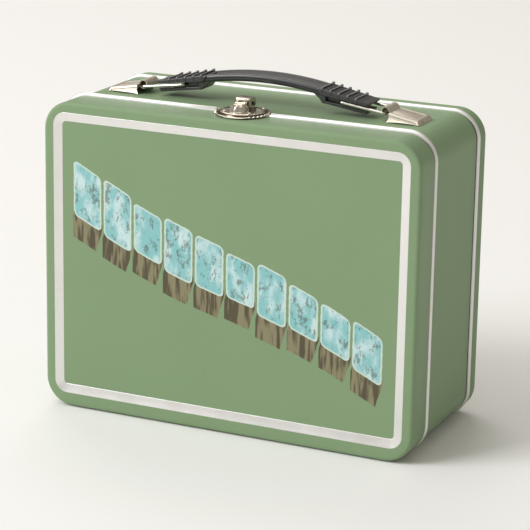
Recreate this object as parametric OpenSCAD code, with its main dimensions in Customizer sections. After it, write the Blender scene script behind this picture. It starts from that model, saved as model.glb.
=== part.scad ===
// Metal lunch box: a flat rectangular tin case with a front lid hinged along its bottom edge,
// a snap latch on top and a low arched carry handle that hangs on two wire rings.
// X is the width, the lid faces -Y, Z is up. The origin is on the ground under the middle.

/* [Case] */
// Width of the case over the lid and the rear shell
case_w = 218.4; // [190:0.2:280]
// Height of the case over the lid and the rear shell
case_h = 172.2; // [130:0.2:230]
// Depth of the closed case, front face to rear face
case_d = 96.3; // [70:0.1:150]
// Outer corner radius seen from the front
corner_r = 16; // [11:0.5:24]
// Thickness of the tinned steel sheet
sheet = 0.6; // [0.4:0.05:1]
// Rounding of the front and rear face edges
face_r = 2; // [1.2:0.1:3]
// Depth of the lid from its face to its rim
lid_d = 19.7; // [14:0.1:30]
// Depth of the rear shell from its face to the seam
rear_d = 12.3; // [8:0.1:24]
// Height of the rolled rims above the middle band
rim_r = 1.3; // [1:0.05:1.8]
// Gap between the closed lid and the front rim
seam_gap = 0.5; // [0.4:0.05:0.9]
// Length of the neck that the lid closes over
neck_l = 3; // [2:0.1:5]

/* [Faces] */
// Margin between the case side and the bright frame
frame_margin = 6; // [4:0.1:12]
// How far the frame sits above the middle of the face
frame_up = 0.95; // [-1.5:0.1:1.5]
// Margin between the case top and the frame, with the frame in the middle
frame_margin_v = 6.8; // [6:0.1:14]
// Width of the sloped frame
frame_w = 5; // [3:0.1:8]
// Outer corner radius of the frame
frame_r = 7.5; // [6:0.1:12]
// Depth of the recessed panel below the face
recess = 1.4; // [0.8:0.1:2.4]

/* [Bottom hinges] */
// Distance between the middles of the two hinges
hinge_span = 120; // [70:1:150]
// Width of one hinge
hinge_w = 32; // [20:1:40]
// Outer diameter of the hinge knuckles
knuckle_d = 2.4; // [2.2:0.05:3]
// Diameter of the hinge pin
hinge_pin_d = 1; // [0.8:0.05:1.2]
// Length of a hinge leaf
leaf_l = 12; // [8:0.5:14]

/* [Handle] */
// Distance of the handle behind the middle of the case
handle_y = 1.5; // [-4:0.1:6]
// Distance from the middle to each ring pivot
pivot_x = 71.1; // [64:0.1:80]
// Height of the ring pivots above the band
pivot_up = 4.2; // [4:0.1:6]
// Diameter of the ring wire
wire_d = 1.6; // [1.4:0.05:2]
// Distance from a ring's pivot to its crossbar, along the width
ring_l = 25.1; // [21:0.1:30]
// Height of the ring crossbar above the band
bar_up = 7.75; // [7:0.05:9]
// Inner diameter of the curled barrel
barrel_bore = 4.2; // [4:0.1:5.5]
// Width of the handle over its ribbed ends
handle_w = 17.2; // [14:0.1:21]
// Width of the handle between its ends
grip_w = 15.6; // [13:0.1:17]
// Height of the grip's top above the band, in the middle
grip_up = 17.4; // [16:0.1:19]
// Thickness of the grip
grip_t = 3.2; // [2.6:0.1:4]
// Length of travel of the handle when it is lifted
lift = 15; // [10:0.5:18]

/* [Brackets] */
// Length of a bracket
bracket_l = 17.5; // [15:0.1:22]
// Room between the ring's arms and the bracket's walls
bracket_room = 0.4; // [0.3:0.05:1]
// Height of a bracket at its open end
bracket_h = 6; // [5.6:0.1:8]
// Height of a bracket at its far end
bracket_low = 3; // [2:0.1:4]
// Thickness of the bracket and latch sheet
plate = 0.8; // [0.6:0.05:1]

/* [Latch] */
// Radius of the scalloped latch plates
latch_r = 14.6; // [13:0.1:16]
// Width of the lever over its cheeks
lever_w = 7.8; // [7.4:0.1:9]
// Height of the lever pin above the band
lever_up = 6; // [5.6:0.1:7]
// Distance of the lever pin behind the seam
lever_back = 4.4; // [4:0.1:5]
// Diameter of the lever pin
lever_pin_d = 1.4; // [1.2:0.05:1.6]

/* [Clearances] */
// Radial clearance of a pin in its bore
pin_clear = 0.05; // [0.02:0.01:0.08]
// Side clearance between moving pieces
gap = 0.3; // [0.25:0.05:0.4]
// Clearance of a tab in its slot
slot_clear = 0.1; // [0.05:0.01:0.2]

/* [Hidden] */
$fn = 64;
arch_fn = 180;
eps = 0.01;
far = 400;

// Places along Y
face_y = -case_d / 2;
back_y = case_d / 2;
hinge_y = face_y + lid_d + seam_gap * 0.4;
lid_rim_y = face_y + lid_d;
rim_front_y = lid_rim_y + seam_gap;
rim_rear_y = back_y - rear_d;
mid_z = case_h / 2;
// Insets from the case's outline
band_in = rim_r;
band_top = case_h - band_in;
// The hinge axis
hinge_z = knuckle_d / 2;
knuckle_w = hinge_w / 3;
lid_trim = knuckle_d / 2 + 0.7;
trim_z = hinge_z + 0.5;
// The frame
frame_ow = case_w - 2 * frame_margin;
frame_oh = case_h - 2 * frame_margin_v;
// The ring
bar_x = pivot_x - ring_l;
pivot_z = band_top + pivot_up;
bar_z = band_top + bar_up;
arm_slope = atan2(bar_z - pivot_z, pivot_x - bar_x);
barrel_t = plate;
barrel_z = pivot_z - wire_d / 2 + barrel_bore / 2 - gap / 2;
barrel_top = barrel_z - band_top + barrel_bore / 2 + barrel_t;
arm_y = handle_w / 2 - wire_d / 2;
barrel_l = 2 * (arm_y - wire_d / 2 - gap);
ring_end_l = 4;
ring_bend = 1.5;
ring_per_m = 40.5;
ring_turn = lift / 1000 * ring_per_m * 180 / PI;
// The bracket
bracket_in = pivot_x + wire_d / 2 + gap + 1.7;
bracket_out = bracket_in + bracket_l;
bracket_w = 2 * (arm_y + wire_d / 2 + bracket_room + plate);
wall_y = bracket_w / 2 - plate / 2;
tab_l = 6;
tab_x = bracket_in + 7;
tab_foot = 3.4;
// The handle
lip_t = 1.3;
lip_w = barrel_l;
groove_h = wire_d / 2 + gap + 0.15;
foot_x = bar_x - 9.5;
rib_x = bar_x - 10.4;
rib_step = 4.85;
rib_n = 5;
rib_d = 1.5;
upper_tip = pivot_x - 6.1;
lower_tip = pivot_x - 9.6;
slot_in = bar_x - wire_d / 2 - gap;
slot_out = bar_x + wire_d / 2 + gap + ring_l * (1 - cos(ring_turn + arm_slope));
slot_h = wire_d / 2 + 0.8;
grip_run = 33;
grip_drop = 3.1;
top_r = (pow(grip_run, 2) + pow(grip_drop, 2)) / (2 * grip_drop);
block_top = bar_up + 4;
block_slope = 11.3;
under_r = 9;
under_drop = 1.8;
grip_in = foot_x - 8;
foot_in = foot_x - 2;
foot_low = arm_line(foot_x) - groove_h - lip_t;
web_out = slot_out + 3;
groove_margin = 3;
groove_end = 4;
groove_depth = 0.6;
grip_hollow = 0.78;
// The latch
latch_y = (lid_rim_y + rim_front_y) / 2;
pin_y = latch_y + lever_back;
pin_z = band_top + lever_up;
cheek_r = 3.6;
cheek_low = 2.6;
lever_top = 3.4;
nose_r = 0.9;
nose_y = -4;
nose_z = 2.4;
nose_front = pin_y + nose_y - nose_r;
hook = 0.5;
lip_up = pin_z + nose_z - nose_r + hook - case_h;
lip_y = pin_y + nose_y + nose_r + gap;
tongue_up = 3.9;
catch_boss_y = latch_y - 4.2;
scallops = 26;
scallop_r = 1.15;
scallop_out = 0.35;
rivet_d = 1.8;
rivet_head_d = 3.6;
rivet_sink = 0.2;
tail_t = 0.5;
tail_d = 3;
plate_rivet_x = 8.6;
plate_rivet_y = latch_y + 7.4;
catch_rivet_x = 7.2;
catch_rivet_y = latch_y - 7.4;
ear_r = 1.9;
pin_head_d = 2.2;
pin_head_t = 0.5;
boss_r = 9.2;
boss_sink = 7;
plate_bend = 0.7;

// ---- Shared shapes ----

module rounded(w, h, r) {
    square([w - 2 * r, h], center = true);
    square([w, h - 2 * r], center = true);
    for (x = [-1, 1], y = [-1, 1])
        translate([x * (w / 2 - r), y * (h / 2 - r)]) circle(r);
}

// Stands a shape drawn flat on end: its Y becomes Z and its height runs from front to back.
module upright(z) {
    translate([0, 0, z]) rotate([90, 0, 180]) children();
}

// Sweeps a wall section round a rounded rectangle. The section's X is the distance from the
// corner's centre, so its outer surface lies at x = r.
module sweep_round(w, h, r) {
    a = w / 2 - r;
    b = h / 2 - r;
    for (c = [[a, b, 0], [-a, b, 90], [-a, -b, 180], [a, -b, 270]])
        translate([c[0], c[1], 0]) rotate([0, 0, c[2]]) rotate_extrude(angle = 90) children();
    for (s = [[a, 0, 0, b], [0, b, 90, a], [-a, 0, 180, b], [0, -b, 270, a]])
        translate([s[0], s[1], 0]) rotate([90, 0, s[2]])
            linear_extrude(2 * s[3], center = true) children();
}

// A quarter of a ring, for the rounded edge between a wall and a face
module quarter_ring(r, t) {
    intersection() {
        difference() {
            circle(r);
            circle(r - t);
        }
        translate([0, -r]) square(r);
    }
}

// Pressed tray with a hole in its face for the frame. Its face lies at height 0.
module tray(depth) {
    sweep_round(case_w, case_h, corner_r) {
        translate([corner_r - sheet, face_r]) square([sheet, depth - face_r]);
        translate([corner_r - face_r, face_r]) quarter_ring(face_r, sheet);
    }
    linear_extrude(sheet) difference() {
        rounded(case_w - 2 * face_r, case_h - 2 * face_r, corner_r - face_r);
        translate([0, frame_up]) rounded(frame_ow, frame_oh, frame_r);
    }
}

module face_frame() {
    translate([0, frame_up]) sweep_round(frame_ow, frame_oh, frame_r)
        polygon([
            [frame_r, 0], [frame_r, sheet],
            [frame_r - frame_w, recess + sheet], [frame_r - frame_w, recess]
        ]);
}

module face_panel() {
    translate([0, frame_up, recess]) linear_extrude(sheet)
        rounded(frame_ow - 2 * frame_w, frame_oh - 2 * frame_w, frame_r - frame_w);
}

module at_front() {
    translate([0, face_y, mid_z]) rotate([90, 0, 180]) children();
}

module at_back() {
    translate([0, back_y, mid_z]) rotate([90, 0, 180]) mirror([0, 0, 1]) children();
}

// The two places of the bottom hinges
module each_hinge() {
    for (x = [-1, 1]) translate([x * hinge_span / 2, hinge_y, hinge_z]) children();
}

module along_x(l, d) {
    rotate([0, 90, 0]) cylinder(h = l, d = d, center = true);
}

module along_y(l, d) {
    rotate([90, 0, 0]) cylinder(h = l, d = d, center = true);
}

// ---- Case ----

module body_band() {
    color("darkseagreen") difference() {
        upright(mid_z) sweep_round(case_w, case_h, corner_r)
            translate([corner_r - band_in - sheet, rim_front_y - neck_l])
                square([sheet, rim_rear_y + rear_d / 2 - rim_front_y + neck_l]);
        each_hinge() translate([-hinge_w / 2 - gap, -far, -far / 2])
            cube([hinge_w + 2 * gap, far + knuckle_d / 2 + gap, far / 2 + knuckle_d]);
        each_tab_slot();
        for (x = [-1, 1]) translate([x * plate_rivet_x, plate_rivet_y, band_top])
            cylinder(h = 4, d = rivet_d, center = true);
    }
}

module rolled_rim(y) {
    upright(mid_z) sweep_round(case_w, case_h, corner_r)
        translate([corner_r - rim_r, y + rim_r]) intersection() {
            circle(rim_r);
            translate([0, -rim_r]) square([rim_r, 2 * rim_r]);
        }
}

module front_rim() {
    color("gainsboro") difference() {
        rolled_rim(rim_front_y);
        each_hinge() translate([-hinge_w / 2 - gap, 0, -hinge_z - 1])
            cube([hinge_w + 2 * gap, 4, rim_r + 2]);
    }
}

module rear_rim() {
    color("gainsboro") rolled_rim(rim_rear_y);
}

module rear_shell() {
    color("darkseagreen") {
        at_back() tray(rear_d - 2 * rim_r);
        upright(mid_z) sweep_round(case_w, case_h, corner_r)
            translate([corner_r - band_in, rim_rear_y + 2 * rim_r]) square([band_in, sheet]);
    }
}

module rear_frame() {
    color("silver") at_back() face_frame();
}

module rear_panel() {
    color("darkseagreen") at_back() face_panel();
}

module lid_shell() {
    color("darkseagreen") difference() {
        at_front() tray(lid_d);
        translate([-far / 2, hinge_y - lid_trim, -1]) cube([far, lid_trim + 1, trim_z + 1]);
        for (x = [-1, 1]) translate([x * catch_rivet_x, catch_rivet_y, case_h])
            cylinder(h = 4, d = rivet_d, center = true);
    }
}

module front_frame() {
    color("silver") at_front() face_frame();
}

module front_panel() {
    color("darkseagreen") at_front() face_panel();
}

// ---- Bottom hinges ----

module hinge_leaves_body() {
    color("silver") each_hinge() difference() {
        union() {
            for (x = [-1, 1]) translate([x * knuckle_w, 0, 0]) {
                along_x(knuckle_w - gap, knuckle_d);
                translate([-(knuckle_w - gap) / 2, 0, rim_r + sheet - hinge_z])
                    cube([knuckle_w - gap, leaf_l, sheet]);
            }
            translate([-hinge_w / 2, knuckle_d / 2 + gap, rim_r + sheet - hinge_z])
                cube([hinge_w, leaf_l, sheet]);
        }
        along_x(hinge_w + 1, hinge_pin_d + 2 * pin_clear);
    }
}

module hinge_leaves_lid() {
    color("silver") each_hinge() difference() {
        union() {
            along_x(knuckle_w - gap, knuckle_d);
            translate([-(knuckle_w - gap) / 2, -leaf_l, sheet - hinge_z])
                cube([knuckle_w - gap, leaf_l, sheet]);
            translate([-hinge_w / 2, -leaf_l - knuckle_d / 2, sheet - hinge_z])
                cube([hinge_w, leaf_l - gap, sheet]);
        }
        along_x(hinge_w, hinge_pin_d + 2 * pin_clear);
    }
}

module hinge_pins() {
    color("dimgray") each_hinge() along_x(hinge_w - gap, hinge_pin_d);
}

// ---- Handle brackets and rings ----

module each_tab_slot() {
    for (x = [-1, 1], y = [-1, 1])
        translate([x * tab_x - tab_l / 2 - slot_clear, handle_y + y * wall_y - plate / 2 - slot_clear,
                   band_top - 2])
            cube([tab_l + 2 * slot_clear, plate + 2 * slot_clear, 4]);
}

// Solid outline of a bracket, t smaller all round except at its foot and its open end
module bracket_block(t) {
    slope = (bracket_h - bracket_low) / (bracket_l - 1);
    intersection() {
        rotate([90, 0, 0]) linear_extrude(far, center = true) polygon([
            [bracket_in - (t > 0 ? 1 : 0), t > 0 ? -1 : 0],
            [bracket_in - (t > 0 ? 1 : 0), bracket_h - t + (t > 0 ? slope : 0)],
            [bracket_out - 1 - t, bracket_low - t], [bracket_out - t, 0], [bracket_out - t, t > 0 ? -1 : 0]
        ]);
        rotate([90, 0, 90]) linear_extrude(far) polygon([
            [-bracket_w / 2 + t, -1], [bracket_w / 2 - t, -1], [bracket_w / 2 - t, bracket_low - 0.8],
            [bracket_w / 2 - 1.2 - t, bracket_h + 1], [-bracket_w / 2 + 1.2 + t, bracket_h + 1],
            [-bracket_w / 2 + t, bracket_low - 0.8]
        ]);
    }
}

module bracket() {
    translate([0, handle_y, band_top]) {
        difference() {
            union() {
                bracket_block(0);
                // tongue of the top sheet that curls over into the barrel
                across(barrel_l) polygon([
                    [pivot_x, barrel_top], [pivot_x + 1.2, barrel_top], [bracket_in + 3, bracket_h - 0.4],
                    [bracket_in + 2, bracket_h - plate - 0.4], [bracket_in, bracket_h - plate],
                    [pivot_x + 1, barrel_top - barrel_t], [pivot_x, barrel_top - barrel_t]
                ]);
                translate([pivot_x, 0, barrel_z - band_top]) along_y(barrel_l, barrel_bore + 2 * barrel_t);
            }
            bracket_block(plate);
            translate([pivot_x, 0, barrel_z - band_top]) along_y(far, barrel_bore);
        }
        for (y = [-1, 1]) translate([tab_x - tab_l / 2, y * wall_y - plate / 2, 0]) {
            translate([0, 0, -sheet - gap - plate]) cube([tab_l, plate, sheet + gap + plate + 1]);
            translate([0, y > 0 ? -tab_foot + plate : 0, -sheet - gap / 3 - plate])
                cube([tab_l, tab_foot, plate]);
        }
    }
}

module handle_bracket_right() {
    color("tan") bracket();
}

module handle_bracket_left() {
    color("tan") mirror([1, 0, 0]) bracket();
}

// Wire bent into three sides of a rectangle, with both ends turned in along the barrel
module ring() {
    arm_l = norm([pivot_x - bar_x, pivot_z - bar_z]);
    translate([pivot_x, handle_y, pivot_z]) rotate([0, arm_slope, 0]) for (s = [0, 1]) mirror([0, s, 0]) {
        translate([-ring_bend, arm_y - ring_bend, 0]) rotate_extrude(angle = 90)
            translate([ring_bend, 0]) circle(d = wire_d);
        translate([-arm_l + ring_bend, arm_y - ring_bend, 0]) rotate([0, 0, 90]) rotate_extrude(angle = 90)
            translate([ring_bend, 0]) circle(d = wire_d);
        translate([0, arm_y - ring_bend, 0]) rotate([90, 0, 0]) cylinder(h = ring_end_l, d = wire_d);
        translate([-ring_bend, arm_y, 0]) rotate([0, -90, 0])
            cylinder(h = arm_l - 2 * ring_bend, d = wire_d);
        translate([-arm_l, arm_y - ring_bend, 0]) rotate([90, 0, 0])
            cylinder(h = arm_y - ring_bend, d = wire_d);
    }
}

module ring_right() {
    color("white") ring();
}

module ring_left() {
    color("white") mirror([1, 0, 0]) ring();
}

// ---- Handle ----

// Height above the band of the line that the ring arms follow
function arm_line(x) = bar_up - (x - bar_x) * tan(arm_slope);
function block_line(x) = block_top - (x - bar_x) * tan(block_slope);

// Upper ribbed block of one handle end, seen from the front
module upper_block() {
    polygon([
        [grip_in, block_line(grip_in)], [foot_x, block_line(foot_x)],
        [upper_tip - 4.5, block_line(upper_tip - 4.5)], [upper_tip + 0.8, arm_line(upper_tip) + groove_h + 0.6],
        [upper_tip + 0.8, arm_line(upper_tip + 0.8) + groove_h], [foot_in, arm_line(foot_in) + groove_h]
    ]);
}

// Foot and lower lip of one handle end, seen from the front
module lower_block() {
    difference() {
        polygon([
            [foot_x - under_r, grip_up - grip_t], [foot_in, arm_line(foot_in) + groove_h + eps],
            [slot_in, arm_line(slot_in) + groove_h + eps],
            [web_out, arm_line(web_out) + groove_h + eps],
            [web_out, arm_line(web_out) - groove_h],
            [lower_tip, arm_line(lower_tip) - groove_h],
            [lower_tip, arm_line(lower_tip) - groove_h - lip_t],
            [foot_x, foot_low], [foot_x - under_r, foot_low]
        ]);
        translate([foot_x - under_r, foot_low - under_drop]) circle(under_r);
    }
}

module grip_profile() {
    intersection() {
        difference() {
            translate([0, grip_up - top_r]) circle(top_r, $fn = arch_fn);
            translate([0, grip_up - grip_t - top_r * grip_hollow])
                circle(top_r * grip_hollow, $fn = arch_fn);
        }
        translate([-foot_x, 0]) square([2 * foot_x, far]);
    }
}

module across(w) {
    rotate([90, 0, 0]) linear_extrude(w, center = true) children();
}

module carry_handle() {
    color([0.2, 0.2, 0.21]) translate([0, handle_y, band_top]) difference() {
        union() {
            across(grip_w) grip_profile();
            for (s = [0, 1]) mirror([s, 0, 0]) {
                across(handle_w) upper_block();
                across(lip_w) lower_block();
                for (i = [0 : rib_n - 1]) {
                    x = rib_x + i * rib_step;
                    translate([x, 0, block_line(x)]) along_y(handle_w, rib_d);
                }
            }
        }
        // groove along the top of the grip
        across(grip_w - 2 * groove_margin) intersection() {
            difference() {
                translate([0, grip_up - top_r]) circle(top_r + 2, $fn = arch_fn);
                translate([0, grip_up - top_r]) circle(top_r - groove_depth, $fn = arch_fn);
            }
            translate([groove_end - foot_x, 0]) square([2 * (foot_x - groove_end), far]);
        }
        // slots that the crossbars slide in
        for (s = [0, 1]) mirror([s, 0, 0]) across(far) polygon([
            [slot_in, arm_line(slot_in) - slot_h], [slot_out, arm_line(slot_out) - slot_h],
            [slot_out, arm_line(slot_out) + slot_h], [slot_in, arm_line(slot_in) + slot_h]
        ]);
    }
}

// ---- Latch ----

// Scalloped round outline shared by both latch plates
module latch_outline() {
    difference() {
        circle(latch_r);
        for (i = [0 : scallops - 1]) rotate([0, 0, (i + 0.5) * 360 / scallops])
            translate([latch_r + scallop_out, 0]) circle(scallop_r);
    }
}

module latch_plate() {
    ear_t = plate;
    ear_x = lever_w / 2 - plate - gap - ear_t;
    seat = rim_front_y + 2 * rim_r + slot_clear;
    color("silver") difference() {
        union() {
            // part that lies on the band, behind the rim
            translate([0, latch_y, band_top]) linear_extrude(rim_r + slot_clear) intersection() {
                latch_outline();
                translate([-far / 2, seat - latch_y]) square(far);
            }
            // thin part that reaches forward over the rim
            translate([0, latch_y, case_h + slot_clear - eps]) linear_extrude(plate_bend) intersection() {
                latch_outline();
                translate([-far / 2, gap + 0.1]) square(far);
            }
            // two ears that hold the pin
            for (s = [0, 1]) mirror([s, 0, 0]) translate([ear_x, pin_y, pin_z]) rotate([90, 0, 90])
                linear_extrude(ear_t) {
                    circle(ear_r);
                    translate([-ear_r, rim_r - lever_up]) square([2 * ear_r, lever_up - rim_r]);
                }
        }
        translate([0, pin_y, pin_z]) along_x(far, lever_pin_d + 2 * pin_clear);
        for (x = [-1, 1]) translate([x * plate_rivet_x, plate_rivet_y, band_top])
            cylinder(h = 20, d = rivet_d, center = true);
    }
}

// Round-headed rivet whose head seats at height 0 and whose tail closes below the sheets
module rivet(grip_l) {
    rotate_extrude() difference() {
        translate([0, -rivet_sink]) intersection() {
            circle(d = rivet_head_d);
            translate([0, rivet_sink]) square(rivet_head_d);
        }
        translate([-far, -far]) square([far, 2 * far]);
    }
    translate([0, 0, -grip_l]) cylinder(h = grip_l + eps, d = rivet_d);
    translate([0, 0, -grip_l - tail_t]) cylinder(h = tail_t, d = tail_d);
}

module latch_plate_rivets() {
    color("lightgray") for (x = [-1, 1])
        translate([x * plate_rivet_x, plate_rivet_y, case_h + slot_clear + plate_bend - eps])
            rivet(rim_r + slot_clear + plate_bend + sheet - eps);
}

module latch_pin() {
    color("dimgray") translate([0, pin_y, pin_z]) {
        along_x(lever_w + 2 * slot_clear + pin_head_t, lever_pin_d);
        for (x = [-1, 1]) translate([x * (lever_w / 2 + slot_clear + pin_head_t / 2), 0, 0])
            along_x(pin_head_t, pin_head_d);
    }
}

module latch_lever() {
    cheek_x = lever_w / 2 - plate;
    color("lightgray") translate([0, pin_y, pin_z]) difference() {
        union() {
            for (s = [0, 1]) mirror([s, 0, 0]) translate([cheek_x, 0, 0]) rotate([90, 0, 90])
                linear_extrude(plate) {
                    intersection() {
                        circle(cheek_r);
                        translate([-far / 2, -far + lever_top]) square(far);
                    }
                    translate([nose_y, -cheek_low]) square([-nose_y, lever_top + cheek_low]);
                }
            translate([-lever_w / 2, nose_y, lever_top - plate]) cube([lever_w, ear_r - nose_y, plate]);
            translate([0, nose_y, nose_z]) along_x(lever_w, 2 * nose_r);
        }
        along_x(far, lever_pin_d + 2 * pin_clear);
    }
}

module latch_catch() {
    tongue_w = lever_w - 2 * plate - 2 * gap;
    lip_in_w = tongue_w - 2 * plate - 2 * gap;
    color("silver") translate([0, 0, case_h]) difference() {
        union() {
            translate([0, latch_y, 0]) linear_extrude(plate) intersection() {
                union() {
                    latch_outline();
                    circle(latch_r - 0.9);
                }
                translate([-far / 2, -far - gap - 0.1]) square(far);
            }
            // boss that carries the tongue
            translate([0, catch_boss_y, plate - eps]) intersection() {
                translate([0, 0, -boss_sink]) sphere(r = boss_r);
                translate([-far / 2, -far + lid_rim_y - catch_boss_y, 0]) cube([far, far, far]);
            }
            // tongue that reaches under the lever's nose
            rotate([90, 0, 90]) linear_extrude(tongue_w, center = true) polygon([
                [catch_boss_y - 5, plate - eps], [catch_boss_y, tongue_up - 0.9],
                [nose_front - 1, tongue_up], [pin_y + nose_y, tongue_up],
                [pin_y + nose_y, plate + gap], [lid_rim_y, plate + gap], [lid_rim_y, plate - eps]
            ]);
            // narrow lip that the nose snaps behind
            rotate([90, 0, 90]) linear_extrude(lip_in_w, center = true) polygon([
                [nose_front, plate + gap], [nose_front, tongue_up], [lip_y - gap, tongue_up - 0.4],
                [lip_y, lip_up], [lip_y + plate, lip_up], [lip_y + plate, plate + gap]
            ]);
        }
        for (x = [-1, 1]) translate([x * catch_rivet_x, catch_rivet_y, 0])
            cylinder(h = 20, d = rivet_d, center = true);
    }
}

module latch_catch_rivets() {
    color("lightgray") for (x = [-1, 1])
        translate([x * catch_rivet_x, catch_rivet_y, case_h + plate]) rivet(plate + sheet);
}

body_band();
front_rim();
rear_rim();
rear_shell();
rear_frame();
rear_panel();
lid_shell();
front_frame();
front_panel();
hinge_leaves_body();
hinge_leaves_lid();
hinge_pins();
handle_bracket_left();
handle_bracket_right();
ring_left();
ring_right();
carry_handle();
latch_plate();
latch_plate_rivets();
latch_pin();
latch_lever();
latch_catch();
latch_catch_rivets();
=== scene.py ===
"""Looks of a metal lunch box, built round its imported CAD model.

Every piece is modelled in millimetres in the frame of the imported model, and turned to metres
when it is finished. Each operator makes one piece or one group of like pieces.
"""

import math

import bmesh
import bpy
from mathutils import Matrix, Vector


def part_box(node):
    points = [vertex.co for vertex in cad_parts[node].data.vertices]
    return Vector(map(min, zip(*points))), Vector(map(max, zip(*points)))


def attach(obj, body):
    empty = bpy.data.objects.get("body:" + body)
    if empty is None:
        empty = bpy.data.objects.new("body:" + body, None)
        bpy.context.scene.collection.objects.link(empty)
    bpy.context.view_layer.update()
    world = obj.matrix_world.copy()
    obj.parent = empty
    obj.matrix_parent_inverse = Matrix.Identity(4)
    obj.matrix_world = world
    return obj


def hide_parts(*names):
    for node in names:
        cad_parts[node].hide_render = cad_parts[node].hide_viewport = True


bl_info = {
    "name": "Metal Lunch Box",
    "version": (1, 0, 0),
    "blender": (4, 5, 0),
    "location": "View3D > Sidebar > Lunch Box",
    "description": "Builds the looks of a metal lunch box round its CAD frame",
    "category": "Object",
}

MM = 0.001
HINGE_X, HINGE_W = 60.0, 32.0  # middle and width of the openings for the bottom hinges
WIRE_D = 1.6
RIBS = 5
BARREL_R = 2.9
SCALLOPS = 36

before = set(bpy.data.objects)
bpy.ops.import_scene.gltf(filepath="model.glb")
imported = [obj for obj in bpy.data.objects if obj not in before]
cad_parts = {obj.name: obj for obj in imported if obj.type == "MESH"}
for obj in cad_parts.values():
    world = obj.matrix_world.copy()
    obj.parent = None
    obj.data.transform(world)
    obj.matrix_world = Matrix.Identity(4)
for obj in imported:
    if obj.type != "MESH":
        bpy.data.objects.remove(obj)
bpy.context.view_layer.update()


def span(node):
    """Lowest and highest corner of a CAD node, in millimetres."""
    low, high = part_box(node)
    return low / MM, high / MM


# ---- Settings ----


def colour_setting(name, description, default):
    return bpy.props.FloatVectorProperty(
        name=name, description=description, default=default,
        subtype="COLOR", size=3, min=0.0, max=1.0)


def length_setting(name, description, default):
    return bpy.props.FloatProperty(
        name=name, description=description, default=default * MM,
        subtype="DISTANCE", unit="LENGTH", precision=5, min=0.0)


class LunchBoxPaint(bpy.types.PropertyGroup):
    """Colours of the enamel and of the printed blocks."""

    enamel: colour_setting("Enamel", "Green enamel of the case", (0.222, 0.318, 0.182))
    block: colour_setting("Block", "Face of the printed blocks", (0.25, 0.52, 0.53))
    block_side: colour_setting("Block side", "Thickness drawn under a block", (0.105, 0.09, 0.058))
    block_line: colour_setting("Block line", "Fine outline of a block", (0.56, 0.68, 0.6))


class LunchBoxMetals(bpy.types.PropertyGroup):
    """Colours of the bare metals and of the moulded handle."""

    tin: colour_setting("Tin", "Bright tinplate of the frames and rims", (0.80, 0.79, 0.77))
    nickel: colour_setting("Nickel", "Nickel plate of the brackets and latch", (0.66, 0.60, 0.51))
    wire: colour_setting("Wire", "Plated wire of the two rings", (0.72, 0.69, 0.64))
    zinc: colour_setting("Zinc", "Zinc plate of the bottom hinges", (0.56, 0.56, 0.54))
    plastic: colour_setting("Handle", "Charcoal plastic of the handle", (0.032, 0.032, 0.034))


class LunchBoxSizes(bpy.types.PropertyGroup):
    """Sizes that only the looks have."""

    rim_proud: length_setting("Rim proud", "How far the rims stand proud of the shells", 0.5)
    rim_crest: length_setting("Rim crest", "How much higher the front rim rises on top", 1.2)
    frame_bead: length_setting("Frame bead", "Width of the bead round a face frame", 1.0)
    handle_edge: length_setting("Handle edge", "Rounding of the moulded handle's edges", 0.45)
    rib_t: length_setting("Rib", "Thickness of the ribs at the handle's ends", 1.1)
    plate_t: length_setting("Plate", "Sheet of the brackets and the latch", 0.7)
    metal_edge: length_setting("Metal edge", "Rounding of the folded metal's edges", 0.12)


# ---- Mesh helpers ----


def face_from(bm, points):
    """One face through a few corner points."""
    return bm.faces.new([bm.verts.new(p) for p in points])


def only(kind, geom):
    return [g for g in geom if isinstance(g, kind)]


def extrude(bm, faces, offset):
    """Extrudes faces into a solid along an offset and returns its new vertices."""
    result = bmesh.ops.extrude_face_region(bm, geom=faces)
    verts = only(bmesh.types.BMVert, result["geom"])
    bmesh.ops.translate(bm, verts=verts, vec=offset)
    return verts


def prism_y(bm, outline, low, high):
    """A side profile of (x, z) points, extruded from low to high along Y."""
    face = face_from(bm, [(x, low, z) for x, z in outline])
    extrude(bm, [face], (0, high - low, 0))


def prism_x(bm, outline, low, high):
    """A profile of (y, z) points, extruded from low to high along X."""
    face = face_from(bm, [(low, y, z) for y, z in outline])
    extrude(bm, [face], (high - low, 0, 0))


def box(bm, low, high):
    """A plain block between two corners, as the start of a shape."""
    low, high = Vector(low), Vector(high)
    place = Matrix.Translation((low + high) / 2) @ Matrix.Diagonal((high - low).to_4d())
    return bmesh.ops.create_cube(bm, size=1.0, matrix=place)["verts"]


def rod(bm, start, end, radius, segments=24):
    """A round bar between two points."""
    start, end = Vector(start), Vector(end)
    along = end - start
    turn = along.to_track_quat("Z", "Y").to_matrix().to_4x4()
    place = Matrix.Translation((start + end) / 2) @ turn
    return bmesh.ops.create_cone(
        bm, cap_ends=True, segments=segments, radius1=radius, radius2=radius,
        depth=along.length, matrix=place)["verts"]


def spin(bm, geom, centre, axis, degrees, steps):
    return bmesh.ops.spin(
        bm, geom=geom, cent=centre, axis=axis, dvec=(0, 0, 0), angle=math.radians(degrees),
        steps=steps, use_merge=abs(degrees) == 360, use_duplicate=False)["geom_last"]


def bevel_edges(bm, edges, width, segments=3):
    bmesh.ops.bevel(
        bm, geom=edges, offset=width, offset_type="OFFSET", segments=segments, profile=0.5,
        affect="EDGES", material=-1, clamp_overlap=True)


def round_corners(bm, verts, radius, segments=10):
    bmesh.ops.bevel(
        bm, geom=verts, offset=radius, offset_type="OFFSET", segments=segments, profile=0.5,
        affect="VERTICES", material=-1, clamp_overlap=False)


def clean(bm):
    bmesh.ops.remove_doubles(bm, verts=bm.verts, dist=1e-4)
    bmesh.ops.recalc_face_normals(bm, faces=bm.faces)


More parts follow.
